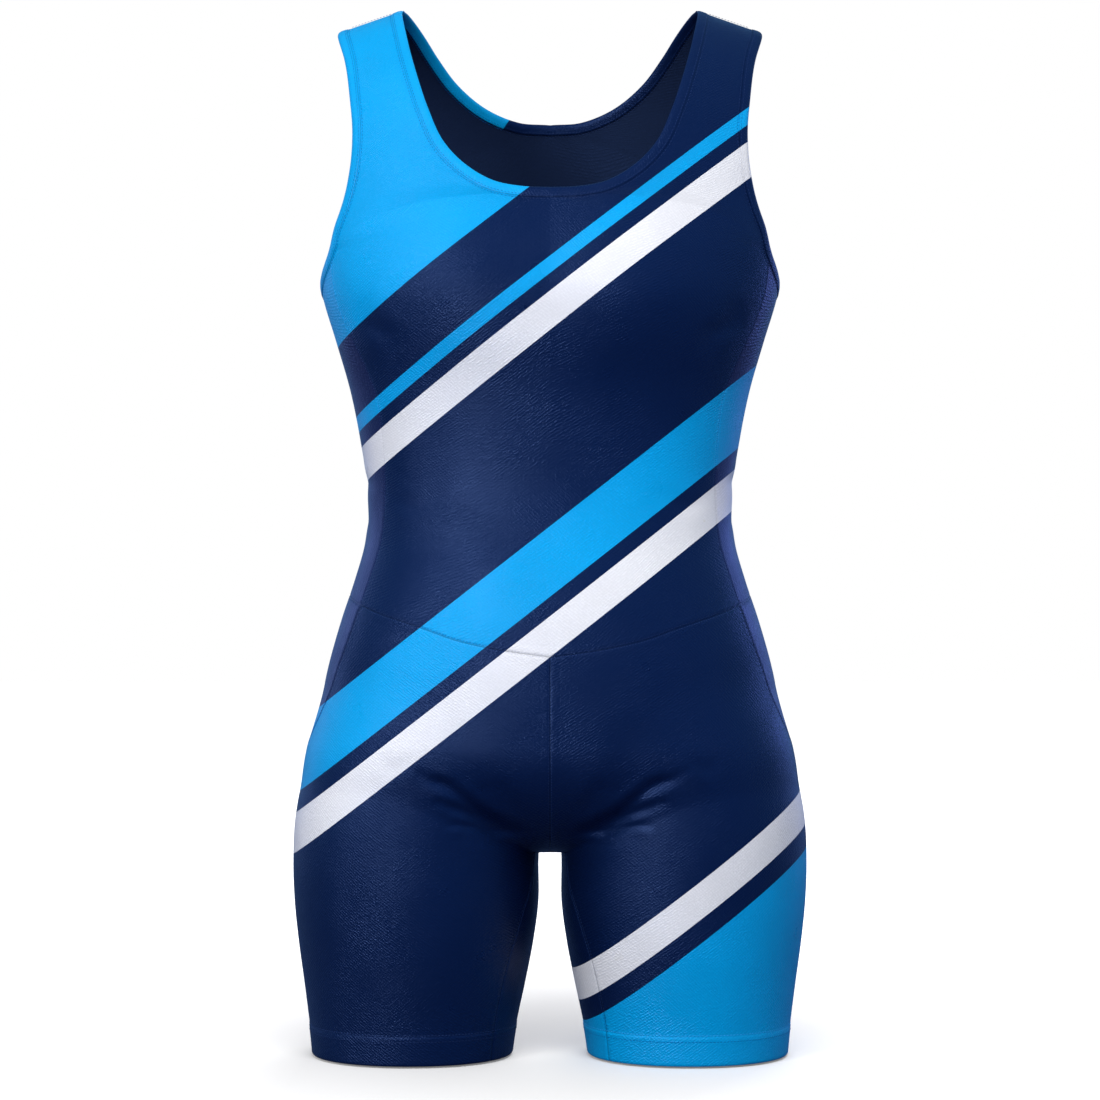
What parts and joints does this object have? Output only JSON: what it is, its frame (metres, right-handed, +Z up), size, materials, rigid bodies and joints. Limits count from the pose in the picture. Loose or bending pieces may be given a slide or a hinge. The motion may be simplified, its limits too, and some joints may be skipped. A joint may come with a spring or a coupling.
{
  "type": "rowing unisuit",
  "caption": "Close-fitting sleeveless one-piece suit with scooped neck, bound armholes, side panels, waist seam and mid-thigh legs, filled out as worn.",
  "frame": {"origin": "midway between the two shoulder straps, at the height of the straps' tops, where the wearer's shoulders hold the suit up", "axes": "+Z up, -Y towards the wearer's front, +X towards the wearer's left"},
  "size_m": [0.384, 0.2362, 0.78],
  "materials": {
    "printed_knit": "smooth stretch knit, satin, navy with sky blue and white printed bands",
    "navy_knit": "smooth stretch knit, satin, navy",
    "side_knit": "smooth stretch knit, satin, navy with a violet sheen",
    "binding_knit": "folded stretch binding, twin stitched",
    "thread": "polyester sewing thread"
  },
  "bodies": {
    "root": {"front_bodice": "printed_knit", "back_bodice": "printed_knit", "side_upper_left": "side_knit", "side_upper_right": "side_knit", "side_lower_left": "side_knit", "side_lower_right": "side_knit", "leg_front_left": "printed_knit", "leg_front_right": "printed_knit", "leg_back_left": "printed_knit", "leg_back_right": "printed_knit", "gusset": "navy_knit", "neck_binding": "binding_knit", "armhole_binding_left": "binding_knit", "armhole_binding_right": "binding_knit"}
  },
  "joints": []
}
